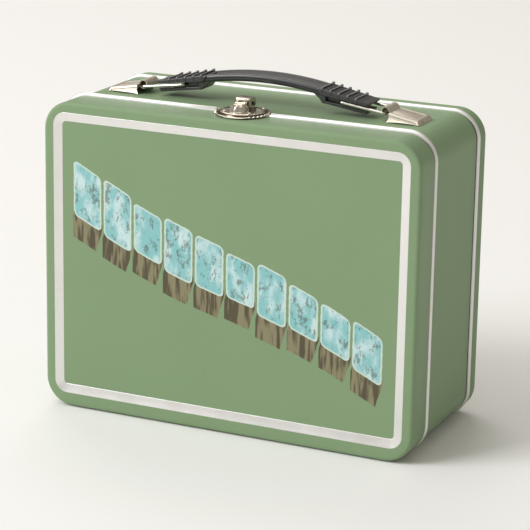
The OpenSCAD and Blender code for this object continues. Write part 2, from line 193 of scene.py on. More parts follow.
def slice_mesh(bm, place, normal, **options):
    """Cuts through the whole mesh along a plane."""
    geom = bm.verts[:] + bm.edges[:] + bm.faces[:]
    bmesh.ops.bisect_plane(bm, geom=geom, plane_co=place, plane_no=normal, **options)


def close_holes(bm):
    bmesh.ops.holes_fill(bm, edges=[e for e in bm.edges if e.is_boundary], sides=0)
    clean(bm)


def turned(bm, profile, x, y, base, steps):
    """A profile of (radius, height) points, turned round an upright line."""
    verts = [bm.verts.new((x + r, y, base + z)) for r, z in profile]
    edges = [bm.edges.new(pair) for pair in zip(verts, verts[1:])]
    spin(bm, verts + edges, (x, y, 0), (0, 0, 1), 360, steps)


def wall(bm, thickness):
    """Gives a sheet its thickness, behind the side it faces."""
    clean(bm)
    bmesh.ops.solidify(bm, geom=bm.faces, thickness=thickness)


def mirrored(bm, plane_x=0.0):
    """Mirrors the whole mesh across a plane of constant X."""
    bmesh.ops.scale(bm, vec=(-1, 1, 1), verts=bm.verts,
                    space=Matrix.Translation((-plane_x, 0, 0)))
    bmesh.ops.reverse_faces(bm, faces=bm.faces)


def finish_piece(bm, name, body, finish, stands_for=(), edge=0.0, sharp=35.0):
    """Turns a mesh in millimetres into a finished piece that rides on a body."""
    bmesh.ops.scale(bm, vec=(MM, MM, MM), verts=bm.verts)
    mesh = bpy.data.meshes.new(name)
    bm.to_mesh(mesh)
    bm.free()
    mesh.shade_smooth()
    mesh.set_sharp_from_angle(angle=math.radians(sharp))
    piece = bpy.data.objects.new(name, mesh)
    bpy.context.scene.collection.objects.link(piece)
    mesh.materials.append(finish)
    if edge:
        rounding = piece.modifiers.new("Rounded edges", "BEVEL")
        rounding.width = edge
        rounding.segments = 3
        rounding.limit_method = "ANGLE"
        rounding.angle_limit = math.radians(30)
        rounding.harden_normals = True
    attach(piece, body)
    if stands_for:
        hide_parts(*stands_for)
    return piece


# ---- Finishes ----


class Value:
    """One number in a material, which takes part in sums."""

    def __init__(self, finish, socket):
        self.finish = finish
        self.socket = socket

    def _sum(self, operation, *terms):
        return self.finish.node("ShaderNodeMath", {"operation": operation}, dict(enumerate(terms)))

    def __add__(self, other):
        return self._sum("ADD", self, other)

    def __radd__(self, other):
        return self._sum("ADD", other, self)

    def __sub__(self, other):
        return self._sum("SUBTRACT", self, other)

    def __rsub__(self, other):
        return self._sum("SUBTRACT", other, self)

    def __mul__(self, other):
        return self._sum("MULTIPLY", self, other)

    def __rmul__(self, other):
        return self._sum("MULTIPLY", other, self)

    def __truediv__(self, other):
        return self._sum("DIVIDE", self, other)

    def __pow__(self, other):
        return self._sum("POWER", self, other)

    def __abs__(self):
        return self._sum("ABSOLUTE", self)

    def least(self, other):
        return self._sum("MINIMUM", self, other)

    def most(self, other):
        return self._sum("MAXIMUM", self, other)

    def wave(self):
        return self._sum("SINE", self)

    def whole(self):
        """The whole number at or below."""
        return self._sum("FLOOR", self)


class Finish:
    """A material with one Principled shader, built from sums and a few textures."""

    def __init__(self, name):
        self.material = bpy.data.materials.new(name)
        self.material.use_nodes = True
        self.tree = self.material.node_tree
        self.tree.nodes.clear()
        self.output = self.tree.nodes.new("ShaderNodeOutputMaterial")
        self.shader = self.tree.nodes.new("ShaderNodeBsdfPrincipled")
        self.tree.links.new(self.shader.outputs[0], self.output.inputs[0])
        self.place = self.node("ShaderNodeTexCoord", {}, {}, "Object")

    def node(self, kind, settings, inputs, output=0):
        """Adds a node: its settings first, then the values or links of its sockets."""
        made = self.tree.nodes.new(kind)
        for name, value in settings.items():
            setattr(made, name, value)
        for key, value in inputs.items():
            self.put(made.inputs[key], value)
        return Value(self, made.outputs[output])

    def put(self, socket, value):
        if isinstance(value, Value):
            self.tree.links.new(value.socket, socket)
        elif isinstance(value, (tuple, list)) and socket.type == "RGBA":
            socket.default_value = (*value[:3], 1.0)
        else:
            socket.default_value = value

    def set(self, **sockets):
        """Sets the shader's own sockets, with _ for the spaces of their names."""
        for name, value in sockets.items():
            self.put(self.shader.inputs[name.replace("_", " ")], value)

    def axes(self):
        """X, Y and Z of the surface in millimetres."""
        parts = [self.node("ShaderNodeSeparateXYZ", {}, {0: self.place}, i) for i in range(3)]
        return [part / MM for part in parts]

    def noise(self, grain, detail=2.0, roughness=0.5, stretch=(1, 1, 1)):
        """Noise from 0 to 1 whose features are about grain millimetres across."""
        where = self.node("ShaderNodeVectorMath", {"operation": "MULTIPLY"},
                          {0: self.place, 1: stretch})
        return self.node("ShaderNodeTexNoise", {},
                         {"Vector": where, "Scale": 1 / (grain * MM), "Detail": detail,
                          "Roughness": roughness})

    def spots(self, grain, keep):
        """Round spots in random places: 1 in a spot and 0 elsewhere."""
        distance = self.node("ShaderNodeTexVoronoi", {},
                             {"Vector": self.place, "Scale": 1 / (grain * MM)})
        return self.step(distance, keep, keep * 0.6)

    def step(self, value, low, high):
        """Smooth step from 0 at low to 1 at high."""
        return self.node("ShaderNodeMapRange", {"interpolation_type": "SMOOTHSTEP"},
                         {"Value": value, "From Min": low, "From Max": high})

    def mix(self, share, first, second):
        """Colour from first to second."""
        return self.node("ShaderNodeMix", {"data_type": "RGBA"}, {0: share, 6: first, 7: second}, 2)

    def tint(self, colour, brightness):
        """A colour scaled by a number."""
        return self.node("ShaderNodeVectorMath", {"operation": "SCALE"},
                         {0: colour, "Scale": brightness})

    def bump(self, height, depth):
        """Relief: a height from 0 to 1, over a depth in millimetres."""
        normal = self.node("ShaderNodeBump", {},
                           {"Strength": 1.0, "Distance": depth * MM, "Height": height})
        self.set(Normal=normal)


def enamel_base(finish, colour):
    """Enamel over tin: soft clouding, fine orange peel and a satin coat."""
    cloud = finish.noise(60.0, 3.0)
    fine = finish.noise(2.2, 2.0)
    shade = 0.93 + 0.10 * cloud + 0.03 * fine
    finish.set(Roughness=0.36 + 0.10 * finish.noise(14.0, 3.0) + 0.04 * fine,
               Specular_IOR_Level=0.10)
    peel = 0.7 * finish.noise(1.6, 2.0) + 0.3 * finish.noise(0.5, 1.0)
    finish.bump(peel, 0.018)
    return finish.tint(colour, shade)


def enamel(paint):
    """Green enamel of the shells, scuffed to a paler green at a few specks."""
    finish = Finish("green_enamel")
    colour = enamel_base(finish, tuple(paint.enamel))
    specks = finish.spots(5.5, 0.05) * finish.step(finish.noise(30.0, 2.0), 0.52, 0.7)
    colour = finish.mix(0.5 * specks, colour, (0.45, 0.52, 0.40))
    # painted shade in the seam gaps along the two rims, only at the sides and the bottom, where the
    # light from above does not reach
    x, y, z = finish.axes()
    front, rear = span("lid_shell")[1].y, span("rear_rim")[0].y
    seam = (0.95 - abs(y - front)).most(0.75 - abs(y - rear + 0.65))
    low_down = finish.step(abs(x), 98.0, 106.0).most(1.0 - finish.step(z, 5.0, 12.0))
    seam_shade = 0.9 * finish.step(seam, -0.1, 0.15) * low_down
    finish.set(Base_Color=finish.mix(seam_shade, colour, (0.022, 0.024, 0.02)), Metallic=0.0)
    return finish.material


def printed_enamel(paint):
    """Enamel of the front panel with a worn row of plain raised-looking blocks across it."""
    finish = Finish("printed_enamel")
    colour = enamel_base(finish, tuple(paint.enamel))
    x, y, z = finish.axes()
    wobble = 0.8 * (finish.noise(2.4, 3.0) - 0.5)
    # each block stands in its own cell of a row that falls from the upper left to the lower right
    pitch, first, count = 18.3, -92.0, 10
    block_w, corner_r, side_w, side_drop, side_slant = 8.4, 3.0, 8.6, 12.5, 0.28
    cell = ((x - first) / pitch).whole()
    across = x - first - (cell + 0.5) * pitch
    middle = 89.0 - 0.40 * x + 3.0 * (x * 0.034).wave()
    half = 13.5 - 0.02 * x + 1.3 * (cell * 2.3).wave()
    off = z - middle
    corner_x = (abs(across) - (block_w - corner_r)).most(0.0)
    corner_z = (abs(off) - half + corner_r).most(0.0)
    inside = corner_r - (corner_x * corner_x + corner_z * corner_z) ** 0.5 + wobble
    face = finish.step(inside, -0.15, 0.15)
    line = finish.step(inside, 0.75, 1.05)
    below = 0.0 - off - half
    lean = across + side_slant * below
    side = (side_w - abs(lean)).least(side_drop - below).least(below + 4.0) + wobble
    drop = finish.step(side, -0.15, 0.15)
    # only on the panel's outer face, and only in the row's own cells
    last, outer_y = first + count * pitch, span("front_panel")[0].y
    outside = 1.0 - finish.step(y, outer_y + 0.15, outer_y + 0.3)
    ends = outside * finish.step(x, first, first + 0.3) * (1.0 - finish.step(x, last - 0.3, last))
    wear = finish.step(finish.noise(3.2, 5.0, 0.75, (1, 1, 0.6)), 0.54, 0.60)
    patch = finish.noise(11.0, 3.0, 0.6, (1.6, 1, 0.8))
    pale = finish.mix(finish.step(patch, 0.42, 0.68), tuple(paint.block), (0.56, 0.72, 0.73))
    worn = finish.mix(0.6 * wear, pale, tuple(paint.block_side))
    streak = finish.noise(2.2, 2.0, 0.5, (1, 1, 0.12))
    brown = finish.mix(finish.step(streak, 0.42, 0.6), tuple(paint.block_side), (0.25, 0.23, 0.14))
    shown = finish.mix(drop * ends, colour, brown)
    shown = finish.mix(face * ends, shown, tuple(paint.block_line))
    shown = finish.mix(line * ends, shown, worn)
    finish.set(Base_Color=shown, Metallic=0.0)
    return finish.material


def bare_metal(name, colour, roughness, grain=(1, 1, 1), tarnish=0.1, dark=(0.2, 0.15, 0.09),
               relief=0.01, valley=None):
    """Plated or tinned steel: fine grain, cloudy gloss and a little tarnish.

    A valley is a ring round x = 0 that is painted darker, as painted shade in the hollow: its middle
    in Y, its inner and outer radius, and the height that it lies below.
    """
    finish = Finish(name)
    grainy = finish.noise(1.2, 3.0, 0.6, grain)
    cloud = finish.noise(11.0, 3.0)
    tarnish_and_shade = tarnish * finish.step(finish.noise(4.0, 4.0, 0.65), 0.52, 0.78)
    if valley:
        x, y, z = finish.axes()
        middle_y, inner, outer, brim = valley
        away = (x * x + (y - middle_y) * (y - middle_y)) ** 0.5
        # painted shade: a dark ring where the valley lies below the brim, on top of the real tarnish
        ring = finish.step(away, inner - 0.25, inner) * (1.0 - finish.step(away, outer, outer + 0.25))
        tarnish_and_shade = tarnish_and_shade.most(0.85 * ring * (1.0 - finish.step(z, brim, brim + 0.3)))
    finish.set(Base_Color=finish.mix(tarnish_and_shade, finish.tint(colour, 0.94 + 0.1 * cloud), dark),
               Metallic=1.0, Roughness=roughness + 0.10 * cloud + 0.06 * grainy)
    finish.bump(grainy, relief)
    return finish.material


def handle_plastic(metals):
    """Charcoal plastic: fine moulded grain, handled to a gloss in places."""
    finish = Finish("charcoal_plastic")
    grain = finish.noise(0.45, 2.0, 0.6)
    worn = finish.noise(16.0, 3.0)
    shade = 0.85 + 0.35 * finish.noise(7.0, 3.0)
    finish.set(Base_Color=finish.tint(tuple(metals.plastic), shade),
               Roughness=0.22 + 0.14 * worn + 0.06 * grain, Specular_IOR_Level=0.7, Metallic=0.0)
    finish.bump(grain, 0.02)
    return finish.material


def coat(node, material):
    """Gives a CAD node a finish in place of its own."""
    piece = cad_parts[node]
    piece.data.materials.clear()
    piece.data.materials.append(material)


# ---- Case ----


def rounded_plate(bm, width, height, radius, segments=14):
    """A flat face of a rounded rectangle in the XY plane."""
    bmesh.ops.create_grid(bm, x_segments=1, y_segments=1, size=0.5,
                          matrix=Matrix.Diagonal((width, height, 1, 1)))
    round_corners(bm, bm.verts[:], radius, segments)
    return bm.faces[:][0]


def largest(bm):
    return max(bm.faces, key=lambda face: face.calc_area())


def inset_steps(bm, steps, start=0.0):
    """Insets the middle face again and again: how far in, and the level it reaches."""
    level = start
    for thickness, reach in steps:
        bmesh.ops.inset_region(bm, faces=[largest(bm)], thickness=thickness, depth=reach - level,
                               use_even_offset=True, use_boundary=True)
        level = reach


def stand_up(bm, faces_front, face_y, middle_z):
    """Stands a flat piece on end, facing the front or the back, with level 0 at face_y."""
    turn = Matrix.Rotation(math.radians(90), 4, "X")
    if not faces_front:
        turn = Matrix.Rotation(math.radians(180), 4, "Z") @ turn
    place = Matrix.Translation((0, face_y, middle_z)) @ turn
    bmesh.ops.transform(bm, matrix=place, verts=bm.verts)


def ring_to(verts, old, new, radius, shift=0.0):
    """Moves the corner arcs of a rounded rectangle from old centres to new ones."""
    for v in verts:
        side_x, side_y = math.copysign(1, v.co.x), math.copysign(1, v.co.y)
        away = Vector((v.co.x - side_x * old[0], v.co.y - side_y * old[1])).normalized()
        v.co.x = side_x * new[0] + away.x * radius
        v.co.y = side_y * new[1] + away.y * radius + shift


def extrude_ring(bm, ring):
    """Extrudes a loop of edges in place and returns the new loop and its vertices."""
    made = bmesh.ops.extrude_edge_only(bm, edges=ring)["geom"]
    verts = only(bmesh.types.BMVert, made)
    known = set(verts)
    return [e for e in only(bmesh.types.BMEdge, made) if set(e.verts) <= known], verts


def make_shell(node, faces_front, recess, frame_node, hem):
    """Pressed tray: rounded face edge, flat border round the frame, and a hem at its open edge."""
    low, high = span(node)
    frame_low, frame_high = span(frame_node)
    half_w, half_h = (high.x - low.x) / 2 - recess, (high.z - low.z) / 2 - recess
    middle_z = (low.z + high.z) / 2
    frame_z = (frame_low.z + frame_high.z) / 2 - middle_z
    depth = high.y - low.y
    corner, edge_r, turns, hole_r = 15.6, 2.0, 6, 7.2
    centre = (half_w - corner, half_h - corner)
    bm = bmesh.new()
    rounded_plate(bm, 2 * half_w, 2 * half_h, corner)
    bmesh.ops.translate(bm, verts=bm.verts, vec=(0, 0, -edge_r))
    ring = bm.edges[:]
    steps, last = [], (1.0, 0.0)
    for i in range(1, turns + 1):
        angle = math.radians(90 * i / turns)
        steps.append((edge_r * (last[0] - math.cos(angle)), edge_r * (math.sin(angle) - 1)))
        last = (math.cos(angle), math.sin(angle))
    inset_steps(bm, steps, -edge_r)
    # a hole in the face, a little smaller than the frame that fills it
    hole = ((frame_high.x - frame_low.x) / 2 - 0.3, (frame_high.z - frame_low.z) / 2 - 0.3)
    inset_steps(bm, [(3.6, 0.0)])
    inner = largest(bm)
    hole_centre = (hole[0] - hole_r, hole[1] - hole_r)
    ring_to(inner.verts, centre, hole_centre, hole_r, frame_z)
    bmesh.ops.delete(bm, geom=[inner], context="FACES_ONLY")
    # the side wall, with its edge turned in
    for turned_in, level in ((0.0, hem - depth), (0.25 * hem, 0.4 * hem - depth), (hem, -depth)):
        ring, verts = extrude_ring(bm, ring)
        ring_to(verts, centre, centre, corner - turned_in)
        for v in verts:
            v.co.z = level
    wall(bm, 0.45)
    stand_up(bm, faces_front, low.y if faces_front else high.y, middle_z)
    return bm


def make_rim(node, crest):
    """Rolled rim that stands on the band, closed underneath."""
    low, high = span(node)
    half_w, half_h = (high.x - low.x) / 2, (high.z + crest - low.z) / 2
    middle_z = (high.z + crest + low.z) / 2
    foot, corner, turns = 1.5 + 0.5 * crest, 16.0, 10
    centre = (half_w - corner, half_h - corner)
    depth = high.y - low.y
    bm = bmesh.new()
    rounded_plate(bm, 2 * (half_w - foot), 2 * (half_h - foot), corner - foot, 20)
    flat = bm.faces[:]
    first = ring = bm.edges[:]
    for i in range(1, turns + 1):
        angle = math.pi * i / turns
        ring, verts = extrude_ring(bm, ring)
        ring_to(verts, centre, centre, corner - foot + foot * math.sin(angle) ** 0.7)
        for v in verts:
            v.co.z = -depth * (1 - math.cos(angle)) / 2
    bmesh.ops.delete(bm, geom=flat, context="FACES_ONLY")
    bmesh.ops.bridge_loops(bm, edges=first + ring)
    clean(bm)
    stand_up(bm, True, low.y, middle_z)
    return bm


def open_at_hinges(bm):
    """Takes the bottom of a rim away where the hinges pass through it."""
    for side in (-1, 1):
        near, far = HINGE_X - HINGE_W / 2 - 0.3, HINGE_X + HINGE_W / 2 + 0.3
        for x in (near, far):
            slice_mesh(bm, (side * x, 0, 0), (1, 0, 0), dist=1e-4)
        gone = [f for f in bm.faces if f.calc_center_median().z < 20
                and near < side * f.calc_center_median().x < far]
        bmesh.ops.delete(bm, geom=gone, context="FACES")
    close_holes(bm)


def duck_under_latch(bm):
    """Presses the top of a rim flat where the latch plates lie over it."""
    top, reach = span("front_rim")[1].z - 0.1, 15.4
    for x in (-reach - 0.5, -reach, reach, reach + 0.5):
        slice_mesh(bm, (x, 0, 0), (1, 0, 0), dist=1e-4)
    for v in bm.verts:
        if v.co.z > top and abs(v.co.x) < reach + 0.1:
            v.co.z = top


def trim_over_hinges(bm):
    """Draws the lid's bottom edge back, so that it clears the hinges and the rim as it opens."""
    low, high = span("hinge_pins")
    edge_y, edge_z = low.y - 1.4, high.z + 0.1
    for v in bm.verts:
        if v.co.z < edge_z and v.co.y > edge_y:
            v.co.y = edge_y


class LUNCHBOX_OT_case(bpy.types.Operator):
    """Press the enamelled lid and rear shell, and paint the band and the panels"""

    bl_idname = "lunchbox.case"
    bl_label = "Enamelled Case"

    def execute(self, context):
        paint = context.scene.lunchbox_paint
        green = enamel(paint)
        for node in ("body_band", "rear_panel"):
            coat(node, green)
        coat("front_panel", printed_enamel(paint))
        recess = context.scene.lunchbox_sizes.rim_proud / MM
        for node, body, front, frame_node in (("lid_shell", "lid", True, "front_frame"),
                                              ("rear_shell", "case", False, "rear_frame")):
            bm = make_shell(node, front, recess, frame_node, 0.9)
            if front:
                trim_over_hinges(bm)
            finish_piece(bm, "pressed_" + node, body, green, (node,), sharp=50.0)
        return {"FINISHED"}


class LUNCHBOX_OT_rims(bpy.types.Operator):
    """Roll the rims, and give the wire rings and the bottom hinges their metals"""

    bl_idname = "lunchbox.rims"
    bl_label = "Rims, Rings and Hinges"

    def execute(self, context):
        metals, sizes = context.scene.lunchbox_metals, context.scene.lunchbox_sizes
        tin = bare_metal("rolled_tin", tuple(metals.tin), 0.42, relief=0.012)
        wire = bare_metal("ring_wire", tuple(metals.wire), 0.12, tarnish=0.15)
        zinc = bare_metal("zinc_plate", tuple(metals.zinc), 0.34, tarnish=0.2)
        for node in ("front_rim", "rear_rim"):
            front = node == "front_rim"
            bm = make_rim(node, sizes.rim_crest / MM if front else 0.2)
            if front:
                open_at_hinges(bm)
                duck_under_latch(bm)
            finish_piece(bm, "rolled_" + node, "case", tin, (node,), sharp=60.0)
        for node in ("ring_left", "ring_right"):
            coat(node, wire)
        for node in ("hinge_leaves_body", "hinge_leaves_lid", "hinge_pins"):
            coat(node, zinc)
        return {"FINISHED"}


# ---- Face frames ----


def frame_sheet(node, faces_front, bead):
    """Pressed frame: a bead outside, a sloped middle and a second bead inside."""
    low, high = span(node)
    width, height = high.x - low.x, high.z - low.z
    middle_z = (low.z + high.z) / 2
    bm = bmesh.new()
    rounded_plate(bm, width, height, 7.5, 12)
    # insets across the frame: how far in, and the level reached, with the face at 0
    steps = ((0.12 * bead, -0.20), (0.25 * bead, -0.02), (0.2 * bead, 0.0), (0.2 * bead, -0.06),
             (4.0, -1.22), (0.25, -1.25), (0.2, -1.35))
    start = -0.45
    bmesh.ops.translate(bm, verts=bm.verts, vec=(0, 0, start))
    inset_steps(bm, steps, start)
    bmesh.ops.delete(bm, geom=[largest(bm)], context="FACES_ONLY")
    wall(bm, 0.35)
    stand_up(bm, faces_front, low.y if faces_front else high.y, middle_z)
    return bm


class LUNCHBOX_OT_frames(bpy.types.Operator):
    """Press the bright frames round the two panels"""

    bl_idname = "lunchbox.frames"
    bl_label = "Face Frames"

    def execute(self, context):
        sizes, metals = context.scene.lunchbox_sizes, context.scene.lunchbox_metals
        bright = bare_metal("bright_frame", tuple(metals.tin), 0.30, tarnish=0.05, relief=0.008)
        bead = sizes.frame_bead / MM
        for node, body, front in (("front_frame", "lid", True), ("rear_frame", "case", False)):
            bm = frame_sheet(node, front, bead)
            finish_piece(bm, "pressed_" + node, body, bright, (node,), sharp=60.0)
        return {"FINISHED"}


# ---- Handle ----


class HandleLines:
    """Places along the handle, in millimetres, measured on its CAD node and on the rings."""

    def __init__(self):
        self.low, self.high = span("carry_handle")
        ring_low, ring_high = span("ring_right")
        half_wire = WIRE_D / 2
        self.bar_x, self.pivot_x = ring_low.x + half_wire, ring_high.x - half_wire
        self.pivot_z, self.bar_z = ring_low.z + half_wire, ring_high.z - half_wire
        self.slope = (self.bar_z - self.pivot_z) / (self.pivot_x - self.bar_x)
        self.y = (self.low.y + self.high.y) / 2
        self.half_w = (self.high.y - self.low.y) / 2
        self.foot = self.bar_x - 9.5

    def arm(self, x):
        """Height of the ring's arms."""
        return self.bar_z - (x - self.bar_x) * self.slope

    def top(self, x):
        """Height of the ribbed block's top."""
        return self.bar_z + 4.0 - (x - self.bar_x) * 0.2


def make_grip(at):
    """The arched grip: a rounded section with a channel along its top."""
    bm = bmesh.new()
    top, half_w, thick, rise, run = at.high.z, 7.8, 4.2, 3.1, 33.0
    radius = (run ** 2 + rise ** 2) / (2 * rise)
    section = [(half_w - 4.1, -1.05), (half_w - 3.0, -1.0), (half_w - 2.3, -0.15), (half_w - 1.6, 0.0),
               (half_w - 0.6, -0.2), (half_w - 0.1, -0.8), (half_w, -1.7), (half_w - 0.45, -2.1),
               (half_w - 0.35, -2.9), (half_w - 0.9, -thick + 0.4), (half_w - 1.9, -thick)]
    outline = section + [(-y, z) for y, z in reversed(section)]
    face = face_from(bm, [(0, at.y + a, top + b) for a, b in outline])
    centre = Vector((0, at.y, top - radius))
    angle = math.asin((at.foot + 0.5) / radius)
    bmesh.ops.rotate(bm, verts=bm.verts, cent=centre, matrix=Matrix.Rotation(-angle, 3, "Y"))
    spin(bm, [face], centre, (0, 1, 0), math.degrees(2 * angle), 40)
    clean(bm)
    return bm


def make_handle_ends(at):
    """Ribbed block, foot, slot and lower lip of both ends."""
    bm = bmesh.new()
    foot, groove, reach = at.foot, 1.3, at.high.x
    bar_in, tip = at.bar_x - 1.1, reach - 4.6
    block = [(foot - 4.5, at.top(foot) + 0.3), (foot, at.top(foot)), (tip + 0.5, at.top(tip + 0.5)),
             (tip + 1.0, at.top(tip) - 0.5), (tip + 0.2, at.arm(tip) + groove),
             (foot - 2, at.arm(foot) + groove)]
    foot_wall = [(foot - 7.5, at.top(foot) - 1.6), (foot - 3.0, at.top(foot) - 0.4),
                 (foot + 0.7, at.top(foot) - 0.4), (foot + 0.7, at.arm(foot) - groove - 0.6),
                 (foot - 1.2, at.arm(foot) - groove - 1.9),
                 (foot - 2.8, at.arm(foot) - groove + 0.2),
                 (foot - 4.8, at.arm(foot) - groove + 1.7)]
    core = [(foot, at.top(foot) - 0.6), (bar_in, at.top(bar_in) - 0.6),
            (bar_in, at.arm(bar_in) - groove - 0.4), (foot, at.arm(foot) - groove - 0.4)]
    lip = [(foot - 1.2, at.arm(foot) - groove - 0.2), (reach - 4.2, at.arm(reach - 4.2) - groove),
           (reach - 5.6, at.arm(reach - 5.6) - groove - 2.1), (foot + 1.0, at.arm(foot) - groove - 2.1),
           (foot - 1.2, at.arm(foot) - groove - 1.9)]
    for side in (-1, 1):
        for outline, half_w in ((block, at.half_w - 0.25), (foot_wall, 6.9), (core, 4.6), (lip, 6.7)):
            prism_y(bm, [(side * x, z) for x, z in outline], at.y - half_w, at.y + half_w)
    clean(bm)
    return bm


def make_ribs(at, thick):
    """Cross ribs that curl over the front edge and end in a knob, with fine lines between them."""
    bm = bmesh.new()
    front, back = at.low.y, at.high.y
    for side in (-1, 1):
        for i in range(RIBS):
            x = at.bar_x - 10.6 + 4.85 * i
            z = at.top(x)
            rib = [(front, z - 2.3), (front, z - 0.2), (front + 0.5, z + 0.5), (front + 1.3, z + 0.75),
                   (back - 2.2, z + 0.75), (back - 1.5, z + 1.1), (back - 0.4, z + 1.1), (back, z + 0.6),
                   (back, z - 1.9), (back - 0.7, z - 2.2), (back - 0.9, z - 0.7), (front + 1.1, z - 0.7),
                   (front + 0.7, z - 2.3)]
            prism_x(bm, rib, side * x - thick / 2, side * x + thick / 2)
            for step in (1.6, 2.4, 3.2):
                if x + step < at.high.x - 5.5:
                    line_x, line_z = side * (x + step), at.top(x + step)
                    rod(bm, (line_x, front + 0.9, line_z), (line_x, back - 0.9, line_z), 0.2, 8)
    return bm


class LUNCHBOX_OT_handle(bpy.types.Operator):
    """Mould the carry handle: grip, ribbed ends and lower lips"""

    bl_idname = "lunchbox.handle"
    bl_label = "Carry Handle"

    def execute(self, context):
        sizes = context.scene.lunchbox_sizes
        plastic = handle_plastic(context.scene.lunchbox_metals)
        at = HandleLines()
        ribs = make_ribs(at, sizes.rib_t / MM)
        for name, bm, stands_for, edge, sharp in (
                ("handle_grip", make_grip(at), ("carry_handle",), 0.0, 40.0),
                ("handle_ends", make_handle_ends(at), (), sizes.handle_edge, 35.0),
                ("handle_ribs", ribs, (), 0.35 * sizes.rib_t, 35.0)):
            finish_piece(bm, name, "handle", plastic, stands_for,
                         edge=edge, sharp=sharp)
        return {"FINISHED"}


# ---- Handle brackets ----


def make_bracket(at, thick):
    """Folded bracket of the right end: bordered top, tapered walls and an arched lower edge."""
    band = span("body_band")[1].z
    low, high = span("handle_bracket_right")
    inner, outer = at.pivot_x + 2.8, high.x
    half_w, tall, short = (high.y - low.y) / 2, 5.2, 2.5
    lean_in, taper = 1.3, 1.2
    bm = bmesh.new()
    for v in box(bm, (inner, at.y - half_w, band), (outer, at.y + half_w, band + tall)):
        if v.co.z > band + 1:
            v.co.y -= math.copysign(lean_in, v.co.y - at.y)
            if v.co.x > inner + 1:
                v.co.x -= taper
                v.co.z = band + short
    bm.normal_update()
    gone = [f for f in bm.faces if f.normal.z < -0.9 or f.normal.x < -0.9]
    bmesh.ops.delete(bm, geom=gone, context="FACES_ONLY")
    folds = [e for e in bm.edges if not e.is_boundary]
    bevel_edges(bm, folds, 0.55, 3)
    for facing, border in (((0, 0, 1), 1.0), ((0, -1, 0), 0.7), ((0, 1, 0), 0.7)):
        bm.normal_update()
        face = max(bm.faces, key=lambda f: f.calc_area() * max(f.normal.dot(Vector(facing)), 0.0))
        for thickness, depth in ((border, 0.0), (0.3, -0.28), (0.9, 0.0), (0.25, 0.14)):
            bmesh.ops.inset_region(bm, faces=[face], thickness=thickness, depth=depth,
                                   use_even_offset=True)
    feet = [e for e in bm.edges if e.is_boundary and all(v.co.z < band + 0.1 for v in e.verts)
            and abs(e.verts[0].co.x - e.verts[1].co.x) > 5]
    bmesh.ops.subdivide_edges(bm, edges=feet, cuts=11)
    for v in bm.verts:
        if v.co.z < band + 0.1 and abs(v.co.y - at.y) > half_w - 1:
            share = min(max((v.co.x - inner) / (outer - inner), 0.0), 1.0)
            v.co.z += 0.15 + 0.65 * math.sin(math.pi * share) ** 0.5
            v.co.x -= 1.1 * (1 - share)
    wall(bm, thick)
    return bm


def make_barrel(at, thick):
    """Tongue of the bracket's top sheet, curled over into an open barrel."""
    radius = BARREL_R - thick / 2
    centre = Vector((at.pivot_x, at.y, span("handle_bracket_right")[1].z - BARREL_R))
    half_l = 6.7
    start, turn = math.radians(22), 312
    bm = bmesh.new()
    point = Vector((math.cos(start), 0, math.sin(start))) * radius + centre
    ends = [bm.verts.new((point.x, y, point.z)) for y in (at.y - half_l, at.y + half_l)]
    lip = bm.edges.new(ends)
    spin(bm, [lip] + ends, centre, (0, -1, 0), turn, 30)
    edge = [lip]
    for dx, dz in ((0.25, -0.75), (0.55, -0.55), (1.6, -0.35), (3.0, -0.55)):
        edge, verts = extrude_ring(bm, edge)
        bmesh.ops.translate(bm, verts=verts, vec=(dx, 0, dz))
    wall(bm, thick)
    return bm


class LUNCHBOX_OT_brackets(bpy.types.Operator):
    """Fold the two handle brackets and curl their barrels"""

    bl_idname = "lunchbox.brackets"
    bl_label = "Handle Brackets"

    def execute(self, context):
        metals, sizes = context.scene.lunchbox_metals, context.scene.lunchbox_sizes
        duller = tuple(0.86 * part for part in metals.nickel)
        nickel = bare_metal("bracket_nickel", duller, 0.36, (0.12, 1, 1), 0.35, relief=0.02)
        at, thick = HandleLines(), sizes.plate_t / MM
        for side, name in ((1, "right"), (-1, "left")):
            for make, part, stands_for in ((make_bracket, "bracket_", ("handle_bracket_" + name,)),
                                           (make_barrel, "barrel_", ())):
                bm = make(at, thick)
                if side < 0:
                    mirrored(bm)
                finish_piece(bm, part + name, "case", nickel, stands_for,
                             edge=sizes.metal_edge, sharp=40.0)
        return {"FINISHED"}


# ---- Latch ----


class LatchLines:
    """Places of the latch, in millimetres, measured on its CAD nodes."""

    def __init__(self):
        low, high = span("latch_plate")
        self.radius = (high.x - low.x) / 2
        self.y = high.y - self.radius
        self.lid_top, self.band_top = span("lid_shell")[1].z, span("body_band")[1].z
        pin_low, pin_high = span("latch_pin")
        self.pin_y, self.pin_z = (pin_low.y + pin_high.y) / 2, (pin_low.z + pin_high.z) / 2
        self.lever_low, self.lever_high = span("latch_lever")


